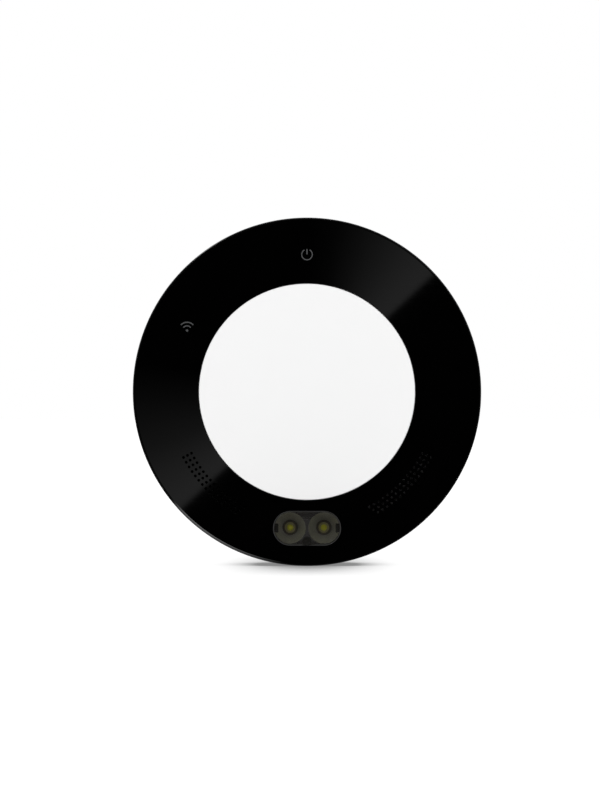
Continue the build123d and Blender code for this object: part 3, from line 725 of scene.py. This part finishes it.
# %% Turn the cap
cap_gap = 0.1 * mm
cap_round = 0.25 * mm
cap_flange_thickness = 0.8 * mm
cap_radius = cap_opening_radius - cap_gap
cap_flange_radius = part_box("centre_cap")[1][0]
cap_flange_back = face_inside - cap_flange_thickness
cap_profile = [
    (0, cap_flange_back),
    (cap_flange_radius, cap_flange_back),
    (cap_flange_radius, face_inside),
    (cap_radius, face_inside),
    *rounded((cap_radius - cap_round, face_height - cap_round), cap_round, 0, 90, 4),
    (0, face_height),
]
cap = crease_flats(new_piece("white_cap", turned(cap_profile, ring_steps), white_plastic))
print("cap faces", len(cap.data.polygons))

# %% [markdown]
# ## The lamp window
# The window is a straight pane that fills its slot but for a thin gap. It has the size of the CAD
# pane, and a Bevel modifier takes the sharpness off its edge.

# %% The window pane
def round_edges(piece, width, segments=3, angle=40):
    """Rounds every edge that turns by more than the angle."""
    bevel = piece.modifiers.new("edges", "BEVEL")
    bevel.width = width
    bevel.segments = segments
    bevel.limit_method = "ANGLE"
    bevel.angle_limit = radians(angle)
    return apply_modifiers(piece)


pane_edge = 0.3 * mm
pane = prism(pill(window_length, window_width, window_centre), face_inside, face_height)
window = new_piece("window_pane", pane, smoked)
crease_flats(round_edges(window, pane_edge))
print("window faces", len(window.data.polygons))

# %% [markdown]
# ## The reflector
# Behind the window two lamps sit in bowl-shaped reflectors, moulded as one block and coated. The
# block is a straight solid, and ends where the mask in front of it begins.

# %% The reflector's block
def oblong(width, height, corner, centre, steps=8):
    """The outline of a rectangle with round corners."""
    points = []
    for turn, (side, rise) in enumerate(((1, 1), (-1, 1), (-1, -1), (1, -1))):
        x = centre[0] + side * (width / 2 - corner)
        z = centre[1] + rise * (height / 2 - corner)
        points += rounded((x, z), corner, 90 * turn, 90 * turn + 90, steps)
    return points


block_corner = 3 * mm
mask_thickness = 0.3 * mm
block_low, block_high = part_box("lamp_reflector")
block_back, mask_front = height_range("lamp_reflector")
block_front = mask_front - mask_thickness
block_size = (block_high[0] - block_low[0], block_high[2] - block_low[2])
block_shape = oblong(*block_size, block_corner, window_centre)
reflector = new_piece("reflector_bowls", prism(block_shape, block_back, block_front), mirror_coat)
print("block faces", len(reflector.data.polygons))

# %% [markdown]
# The bowls are paraboloids, which send a lamp's light straight out: their radius grows with the
# square root of the height. Each is a turned solid that is cut out of the block.

# %% Cut the two bowls
lamp_pitch = 12.65 * mm
lamp_places = [(side * lamp_pitch / 2, window_centre[1]) for side in (-1, 1)]
bowl_mouth = 5.85 * mm
bowl_base = 2.9 * mm
bowl_overcut = 0.2 * mm


def bowl(place, rings=10, steps=64):
    """A paraboloid from its base on the lamp board to its mouth under the mask."""
    depth = block_front - block_back
    profile = [(0, block_back - bowl_overcut), (bowl_base, block_back - bowl_overcut)]
    for i in range(rings + 1):
        rise = i / rings
        radius = sqrt(bowl_base**2 + rise * (bowl_mouth**2 - bowl_base**2))
        profile.append((radius, block_back + rise * depth))
    profile += [(bowl_mouth, block_front + bowl_overcut), (0, block_front + bowl_overcut)]
    return new_piece("bowl", turned(profile, steps, place), mirror_coat)


for place in lamp_places:
    cut(reflector, bowl(place))
soften(reflector, 30)
print("reflector faces", len(reflector.data.polygons))

# %% [markdown]
# ## The mask, its clips and its boss
# Between the bowls and the window lies a dark mask with two round holes, so that only the bowls show
# bright. Small clips at both ends and a screw boss at the bottom hold it. They are only a little
# darker than the mask, yet without them the window would look empty round its lamps.

# %% The mask and its holes
def post(place, radius, low, high, steps=64):
    """A plain round post, for cutting or for a boss."""
    return turned([(0, low), (radius, low), (radius, high), (0, high)], steps, place)


boss_drop = 4.9 * mm
boss_place = (0, window_centre[1] - boss_drop)
boss_radius = 1.75 * mm
boss_steps = 48
mask = new_piece("lamp_mask", prism(block_shape, block_front, mask_front), mask_black)
for place in lamp_places:
    mask_hole = post(place, bowl_mouth, block_front - overcut, mask_front + overcut)
    cut(mask, new_piece("mask_hole", mask_hole, mask_black))
boss_hole = post(boss_place, boss_radius, block_front - overcut, mask_front + overcut, boss_steps)
cut(mask, new_piece("mask_hole", boss_hole, mask_black))
print("mask faces", len(mask.data.polygons))

# %% [markdown]
# A clip is a small upright block with a raised nose at each end, and all of them go into one mesh.
# The boss is a post with a countersunk middle.

# %% Clips and boss
def pour(target, source):
    """Adds one bmesh to another."""
    mesh = bpy.data.meshes.new("poured")
    source.to_mesh(mesh)
    source.free()
    target.from_mesh(mesh)
    bpy.data.meshes.remove(mesh)


def clip_block(width, height, corner, centre, top):
    """One block of a clip, from the clips' foot to its own top."""
    return prism(oblong(width, height, corner, centre, 3), clip_foot, top)


clip_place, clip_width, clip_height = 11.45 * mm, 1.5 * mm, 3.3 * mm
clip_corner, nose_corner = 0.2 * mm, 0.1 * mm
nose_width, nose_place = clip_width * 0.6, clip_height * 0.36
clip_foot, clip_top = block_front - 0.4 * mm, mask_front - 0.05 * mm
clip_blocks = bmesh.new()
for side in (-1, 1):
    x, z = side * clip_place, window_centre[1]
    pour(clip_blocks, clip_block(clip_width, clip_height, clip_corner, (x, z), clip_top))
    for nose in (z - nose_place, z + nose_place):
        pour(clip_blocks, clip_block(nose_width, nose_width, nose_corner, (x, nose), mask_front))
clips = new_piece("mask_clips", clip_blocks, clip_black)

boss_top, sink_floor = mask_front - 0.01 * mm, block_front + 0.1 * mm
sink_mouth, sink_base = boss_radius * 0.7, boss_radius * 0.5
boss_profile = [
    (0, block_front),
    (boss_radius, block_front),
    (boss_radius, boss_top),
    (sink_mouth, boss_top),
    (sink_base, sink_floor),
    (0, sink_floor),
]
boss = new_piece("mask_boss", turned(boss_profile, boss_steps, boss_place), clip_black)
print("clip faces", len(clips.data.polygons), "and boss faces", len(boss.data.polygons))

# %% [markdown]
# ## The bead round the window
# A fine bead runs round the window's edge and stands up by less than a hair's width. It is the
# window's own outline with a smaller one cut out of it, and a post cuts the break at the bottom.

# %% The bead
bead_width, bead_rise, bead_depth = 0.3 * mm, 0.02 * mm, 0.4 * mm
bead_break_radius = 1.9 * mm
bead_break_place = (0, window_middle.z - window_width / 2)
bead_outline = pill(window_length, window_width, window_centre)
bead_solid = prism(bead_outline, face_height - bead_depth, face_height + bead_rise)
bead = new_piece("window_bead", bead_solid, bead_grey)
inner_outline = pill(window_length - 2 * bead_width, window_width - 2 * bead_width, window_centre)
inner_solid = prism(inner_outline, face_inside, face_height + overcut)
cut(bead, new_piece("bead_hole", inner_solid, bead_grey))
bead_break = post(bead_break_place, bead_break_radius, face_inside, face_height + overcut)
cut(bead, new_piece("bead_break", bead_break, bead_grey))
print("bead faces", len(bead.data.polygons))

# %% [markdown]
# ## The lamps
# Each lamp is a flat brown seat, a greenish disc round the chip and a small yellow lens. The lens is
# a low dome, so it is turned from a quarter of an arc. Both lamps share a mesh for each of the three.

# %% Lamps in their bowls
lamp_back, lamp_front = height_range("warning_lamps")
seat_height, halo_height = 0.3 * mm, 0.7 * mm
seat_radius, halo_radius, lens_radius = 2.85 * mm, 2.0 * mm, 1.2 * mm
lens_rings, lens_steps = 8, 40
lens_foot = lamp_back + halo_height
lens_height = lamp_front - lens_foot
quarter = [radians(90 * i / lens_rings) for i in range(lens_rings)]
dome = [(lens_radius * cos(turn), lens_foot + lens_height * sin(turn)) for turn in quarter]
seats, bases, lenses = bmesh.new(), bmesh.new(), bmesh.new()
for place in lamp_places:
    pour(seats, post(place, seat_radius, lamp_back, lamp_back + seat_height))
    pour(bases, post(place, halo_radius, lamp_back, lens_foot))
    pour(lenses, turned([(0, lens_foot), *dome, (0, lamp_front)], lens_steps, place))
lamp_seats = crease_flats(new_piece("lamp_seats", seats, seat_brown))
lamp_bases = crease_flats(new_piece("lamp_bases", bases, halo_green))
lamp_lenses = soften(new_piece("lamp_lenses", lenses, phosphor))
print("lens faces", len(lamp_lenses.data.polygons))

# %% [markdown]
# ## The two symbols
# A power sign stands at the top and a wireless sign at the upper left. Both are common signs, made of
# thin lines of even width with round ends. They lie on the gloss as a print does. A picture texture
# could show them, but a thin flat piece stays sharp at any distance. A short function gives a line
# its width.

# %% A line with a width
def half_round(point, outwards, radius, steps=6):
    """The points between the two sides of a line's round end."""
    turn = Vector((1, 0)).angle_signed(outwards)
    angles = [-turn + pi / 2 - pi * i / steps for i in range(1, steps)]
    return [Vector(point) + radius * Vector((cos(angle), sin(angle))) for angle in angles]


def line(points, width):
    """The outline of a line of even width with round ends."""
    ends = []
    for first, second in ((points[0], points[1]), (points[-1], points[-2])):
        ends.append(Vector(first) - Vector(second))
    sides = []
    for i, point in enumerate(points):
        before, after = Vector(points[max(i - 1, 0)]), Vector(points[min(i + 1, len(points) - 1)])
        along = (after - before).normalized()
        across = Vector((-along.y, along.x)) * width / 2
        sides.append((Vector(point) + across, Vector(point) - across))
    outline = [left for left, right in sides]
    outline += half_round(points[-1], ends[1], width / 2)
    outline += [right for left, right in reversed(sides)]
    outline += half_round(points[0], ends[0], width / 2)
    return [tuple(point) for point in outline]


# %% [markdown]
# The power sign is a ring that is open at the top, with a bar in its mouth. The wireless sign is two
# arcs over a diamond-shaped dot.

# %% Signs on the ring
print_thickness = 0.02 * mm
arc_steps = 28


def sign(name, outlines):
    """A sign printed on the face, from its outlines."""
    made = bmesh.new()
    for outline in outlines:
        pour(made, prism(outline, face_height, face_height + print_thickness))
    return new_piece(name, made, symbol_grey)


power_centre = (0, 51.2 * mm)
power_line = 0.38 * mm
power_radius = 1.97 * mm
power_mouth = 35  # Degrees on each side of the top.
bar_width, bar_length, bar_rise = 0.45 * mm, 2.05 * mm, 0.25 * mm
bar_low = power_centre[1] + bar_rise
power_ring = rounded(power_centre, power_radius, 90 + power_mouth, 450 - power_mouth, arc_steps)
power_bar = [(0, bar_low), (0, bar_low + bar_length - bar_width)]
power_sign = sign("power_sign", [line(power_ring, power_line), line(power_bar, bar_width)])

wireless_angle = radians(151.5)
wireless_centre = (feature_radius * cos(wireless_angle), feature_radius * sin(wireless_angle))
wireless_drop = 1.45 * mm
wireless_foot = (wireless_centre[0], wireless_centre[1] - wireless_drop)
wireless_line = 0.42 * mm
wave_radii = (3.1 * mm, 1.75 * mm)
waves = [rounded(wireless_foot, radius, 45, 135, arc_steps) for radius in wave_radii]
dot = 0.55 * mm
dot_corners = ((dot, 0), (0, dot), (-dot, 0), (0, -dot))
diamond = [(wireless_foot[0] + x, wireless_foot[1] + z) for x, z in dot_corners]
wireless_sign = sign("wireless_sign", [*(line(wave, wireless_line) for wave in waves), diamond])
print("sign faces", len(power_sign.data.polygons), len(wireless_sign.data.polygons))

# %% [markdown]
# ## Rounded edges on the CAD pieces
# The rest of the object keeps its CAD shape. The pieces that show from the back get slightly rounded
# edges, because no real mould or press leaves a knife edge. A CAD mesh is loose triangles, which
# can't be bevelled, so a merged copy of the piece is bevelled and stands for it.

# %% Round the edges of the pieces that show
def eased(node, material, width, body):
    """A copy of a CAD piece with its flat faces joined and its edges rounded."""
    same_point, same_plane = 0.002 * mm, radians(0.5)
    made = bmesh.new()
    made.from_mesh(nodes[node].data)
    bmesh.ops.remove_doubles(made, verts=made.verts, dist=same_point)
    bmesh.ops.dissolve_limit(made, angle_limit=same_plane, verts=made.verts, edges=made.edges)
    piece = new_piece(node + "_eased", made, material, body)
    crease_flats(round_edges(piece, width, 2, 30), 30)
    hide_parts(node)
    return piece


lever_bodies = [name for name in frame["bodies"] if "_lever_" in name]
showing = [
    ("wall_plate", plate_black, 0.15 * mm, "wall_plate"),
    ("rear_shell", satin_black, 0.12 * mm, "housing"),
    ("output_terminal_block", terminal_grey, 0.08 * mm, "housing"),
    ("input_terminal_block", terminal_grey, 0.08 * mm, "housing"),
    ("power_socket_shell", tinned_steel, 0.05 * mm, "housing"),
    ("reset_button", button_grey, 0.08 * mm, "reset_button"),
]
showing += [(name, lever_orange, 0.1 * mm, name) for name in lever_bodies]
eased_pieces = [eased(*piece) for piece in showing]
print("pieces with rounded edges:", len(eased_pieces))

# %% [markdown]
# ## Finishes on the CAD pieces
# Everything inside keeps its own mesh and only gets its finish. One table says which, and the pieces
# that a new one stands for get theirs too, so that none is left grey.

# %% Give every CAD piece its finish
finishes = [
    (plate_black, ["wall_plate"]),
    (satin_black, ["rear_shell"]),
    (ring_black, ["front_shell"]),
    (white_plastic, ["centre_cap"]),
    (smoked, ["lamp_window"]),
    (mirror_coat, ["lamp_reflector"]),
    (phosphor, ["warning_lamps"]),
    (pipe_clear, ["power_light_pipe", "network_light_pipe"]),
    (indicator_white, ["indicator_lamps"]),
    (speaker_cloth, ["speaker_mesh"]),
    (siren_cloth, ["siren_mesh"]),
    (gasket_foam, ["sounder_gaskets"]),
    (nickel, ["speaker_magnet"]),
    (film_black, ["speaker_diaphragm"]),
    (gold_flash, ["speaker_contacts", "siren_contacts"]),
    (inner_black, ["lamp_header", "speaker_frame", "siren", "power_socket_tongue"]),
    (inner_black, ["reset_plunger", "reset_switch"]),
    (board_green, ["lamp_board", "main_board", "radio_module"]),
    (relay_blue, ["relays"]),
    (drawn_can, ["capacitor"]),
    (ferrite_grey, ["power_inductor"]),
    (chip_black, ["processor", "memory_chip", "input_couplers"]),
    (fuse_ceramic, ["fuse"]),
    (tinned_steel, ["crystal", "radio_shield", "power_socket_shell"]),
    (terminal_grey, ["output_terminal_block", "input_terminal_block"]),
    (spring_steel, ["output_clamp_springs", "input_clamp_springs"]),
    (button_grey, ["reset_button"]),
    (lever_orange, lever_bodies),
]
finish_of = {name: finish for finish, names in finishes for name in names}
for name, node in nodes.items():
    node.data.materials.clear()
    node.data.materials.append(finish_of[name])
print("CAD pieces painted:", len(nodes))

# %% [markdown]
# ## Who carries what
# Each new piece rides on the body of the CAD piece that carries it, so that it moves with it when a
# joint moves. A piece that is the finer form of a CAD piece stands for it.

# %% Ride and replace
carried = [ring, cap, window, bead, reflector, mask, clips, boss, lamp_seats, lamp_bases, lamp_lenses]
carried += [power_sign, wireless_sign, *eased_pieces]
for piece in carried:
    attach(piece, piece["body"])
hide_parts("front_shell")
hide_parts("centre_cap")
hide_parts("lamp_window")
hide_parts("lamp_reflector")
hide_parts("warning_lamps")
print("new pieces on their bodies:", len(carried))

# %% [markdown]
# ## The camera
# The photograph looks straight at the face. In its 600 by 800 frame the disc's middle is 7 pixels
# right of the centre and 8 above it, and the disc's radius is 174 pixels, which sets the distance
# and the lens. The small offset is done with the lens shift, so the view stays square to the face.

# %% Place the camera
image_width = 600
disc_radius_pixels = 174.3
disc_offset_pixels = (7.0, 8.2)
camera_distance = 1.2
view_width = image_width * body_radius / disc_radius_pixels
lens_data = bpy.data.cameras.new("camera")
lens_data.sensor_fit = "HORIZONTAL"
lens_data.lens = lens_data.sensor_width * (camera_distance - face_height) / view_width
lens_data.shift_x = -disc_offset_pixels[0] / image_width
lens_data.shift_y = -disc_offset_pixels[1] / image_width
lens_data.clip_start = 0.01
camera = bpy.data.objects.new("camera", lens_data)
camera.location = (0, -camera_distance, 0)
camera.rotation_euler = (radians(90), 0, 0)
bpy.context.collection.objects.link(camera)
bpy.context.scene.camera = camera
bpy.context.scene.view_settings.view_transform = "Standard"
print("lens", round(lens_data.lens, 1), "mm")

# %% [markdown]
# ## The floor
# The disc stands on a pale floor that is plain white in the photograph but for a soft shadow. A lit
# floor would be grey somewhere, so this one shines by itself and takes only a little light. Its
# shadow is measured with Ambient Occlusion, once close to the line of contact and once softly. The
# soft one is kept under the disc and fades out towards both sides.

# %% The shadow on the floor
contact_reach, soft_reach = 0.003, 0.075
contact_share, soft_share, soft_least = 0.15, 1.65, 0.28
shadow_half_width = 0.037


def floor_shadow(paint):
    """How much of its own light the floor keeps: less in the shadow of the disc."""

    def nearness(reach):
        settings, sockets = {"samples": 16}, {"Distance": reach}
        return paint.node("ShaderNodeAmbientOcclusion", settings, sockets, out="AO")

    across = paint.node("ShaderNodeSeparateXYZ", None, {0: paint.place()}, out="X")
    under = paint.fade(across.math("ABSOLUTE"), shadow_half_width, 0.0)
    contact = 1 - (1 - nearness(contact_reach)) * contact_share
    soft = 1 - (1 - nearness(soft_reach)) * under * soft_share
    return contact * soft.math("MAXIMUM", soft_least)


# %% [markdown]
# The floor itself is one large square face, which turns pure white far away, so that no horizon
# shows. Reflections don't see it, because the black gloss would mirror it as a pale band.

# %% The floor
floor_height = cad_low[2]
floor_reach = 6.0
near_reach, far_reach = 0.3, 0.9


def floor_paint():
    """A matt floor that shines by itself, save for the shadow, and is pure white far away."""
    paint = new_paint("floor_paint")
    shadow = floor_shadow(paint)
    away = paint.node("ShaderNodeVectorMath", {"operation": "LENGTH"}, {0: paint.place()}, out="Value")
    own = paint.blend(paint.fade(away, near_reach, far_reach), (0.92, 0.92, 0.92), (1.0, 1.0, 1.0))
    light = paint.node("ShaderNodeVectorMath", {"operation": "SCALE"}, {0: own, "Scale": shadow})
    paint.finish(base_color=(0.12, 0.12, 0.12), roughness=1.0)
    return paint.finish(emission_color=light, emission_strength=1.0)


def stage_piece(name, made, material):
    """A piece of the studio, which isn't part of the object."""
    piece = new_piece(name, made, material)
    piece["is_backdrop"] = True
    return piece


corners = [(-floor_reach, -floor_reach), (floor_reach, -floor_reach)]
corners += [(floor_reach, floor_reach), (-floor_reach, floor_reach)]
floor_mesh = bmesh.new()
floor_mesh.faces.new([floor_mesh.verts.new((x, y, floor_height)) for x, y in corners])
floor = stage_piece("floor", floor_mesh, floor_paint())
floor.visible_glossy = False
print("floor at", floor_height)

# %% [markdown]
# ## The sky
# The world is white to the camera, as the photograph's background is. Reflections that saw it as
# white all round would drown the black gloss, so they see it at full strength only high up. The
# rest of the scene gets a quiet fill light from it.

# %% The sky
quiet_fill = 0.45
quiet_below, full_above = -0.8, 0.5


def light_sky():
    """White to the camera, brighter upwards to reflections, and a quiet fill to the rest."""
    world = bpy.data.worlds.new("studio")
    bpy.context.scene.world = world
    sky = Paint(world, "Background")
    camera_ray = sky.node("ShaderNodeLightPath", out="Is Camera Ray")
    glossy_ray = camera_ray.output("Is Glossy Ray")
    direction = sky.node("ShaderNodeTexCoord", out="Generated")
    upward = sky.node("ShaderNodeSeparateXYZ", None, {0: direction}, out="Z")
    above = sky.fade(upward, quiet_below, full_above)
    shown = camera_ray.math("MAXIMUM", glossy_ray * above)
    return sky.finish(color=(1.0, 1.0, 1.0), strength=shown.math("MAXIMUM", quiet_fill))


print("sky nodes:", len(light_sky().node_tree.nodes))

# %% [markdown]
# ## The lamps of the studio
# Three large soft lamps light the object from the upper left, from the right and from behind. Gloss
# mirrors only the first, because the others' edges would show as hard patches on the side of the
# body.

# %% Three soft lamps
def soft_lamp(name, place, power, in_gloss):
    """A square area lamp that looks at the object."""
    lamp_size = 0.9
    light = bpy.data.lights.new(name, "AREA")
    light.shape = "SQUARE"
    light.size = lamp_size
    light.energy = power
    lamp = bpy.data.objects.new(name, light)
    lamp.location = place
    lamp.rotation_euler = Vector(place).to_track_quat("Z", "Y").to_euler()
    lamp.visible_glossy = in_gloss
    bpy.context.collection.objects.link(lamp)


soft_lamp("key_lamp", (-0.9, -1.5, 1.3), 14, in_gloss=True)
soft_lamp("fill_lamp", (1.1, -1.3, 0.6), 5, in_gloss=False)
soft_lamp("back_lamp", (0.6, 1.4, 1.0), 12, in_gloss=False)
print("lamps:", len(bpy.data.lights))

# %% [markdown]
# ## Cards for the gloss
# Black gloss shows only what it mirrors. In the photograph the ring is black, with soft fans of grey
# light on both ends of one slanting line through its middle, where they stop dead. A studio gets
# this with a card round the lens, so a large dark card stands in the camera's plane, and its glow
# changes with the angle round the lens. Only mirror-like rays see it.

# %% A card that glows by its angle
def card_paint(name, tones, strength):
    """Light whose tone follows the angle round the lens, in degrees."""
    paint = new_paint(name)
    paint.tree.nodes.clear()
    across = paint.node("ShaderNodeSeparateXYZ", None, {0: paint.place()}, out="X")
    turn = across.output("Z").math("ARCTAN2", across) * (1 / (2 * pi))
    share = (turn + 1).math("FRACT")
    stops = [(angle / 360, tone) for angle, tone in tones]
    glow = paint.node("ShaderNodeValToRGB", {"stops": stops}, {0: share})
    light = paint.node("ShaderNodeEmission", None, {"Color": glow, "Strength": strength})
    end = paint.tree.nodes.new("ShaderNodeOutputMaterial")
    paint.join(light, end.inputs["Surface"])
    return paint.owner


def circle(made, radius, distance, steps=96):
    """New corners on a circle round the line of sight."""
    angles = [2 * pi * i / steps for i in range(steps)]
    return [made.verts.new((radius * cos(a), -distance, radius * sin(a))) for a in angles]


def hang_card(name, tones, inner, outer, distance, strength=1.0):
    """A flat round card, or a flat ring, in front of the object, which only reflections see."""
    made = bmesh.new()
    if inner == 0:
        made.faces.new(circle(made, outer, distance))
    else:
        near, far = circle(made, inner, distance), circle(made, outer, distance)
        for corners in zip(near, near[1:] + near[:1], far[1:] + far[:1], far):
            made.faces.new(corners)
    card = stage_piece(name, made, card_paint(name + "_paint", tones, strength))
    card.visible_camera = False
    card.visible_diffuse = False
    card.visible_shadow = False
    card.visible_transmission = False
    return card


# %% [markdown]
# One fan starts sharply at 43 degrees and has faded out at 88. The other rises from 170 degrees and
# stops dead at 223.

# %% The fan-shaped card
card_radius = 0.42
fan_tones = [
    (0, 0.0), (42.7, 0.0), (42.9, 0.4), (50, 0.33), (60, 0.2), (70, 0.09), (80, 0.02), (88, 0.0),
    (170, 0.0), (180, 0.04), (190, 0.09), (200, 0.15), (210, 0.27), (220, 0.38), (222.7, 0.4),
    (222.9, 0.0), (360, 0.0),
]
fan_card = hang_card("reflection_card", fan_tones, 0, card_radius, camera_distance)
print("fan card faces", len(fan_card.data.polygons))

# %% [markdown]
# The bevel of the rim leans outwards, so it mirrors what stands well beside the lens. A second card,
# a wide flat ring nearer to the object, keeps it black, and lights it at the lower left alone.

# %% The card for the rim
rim_inner, rim_outer, rim_distance, rim_strength = 0.5, 0.76, 0.5, 3.4
rim_tones = [
    (0, 0.0), (219, 0.0), (224, 1.0), (231, 1.0), (240, 0.85), (250, 0.5), (262, 0.0), (360, 0.0),
]
rim_card = hang_card("rim_card", rim_tones, rim_inner, rim_outer, rim_distance, rim_strength)
print("rim card faces", len(rim_card.data.polygons))
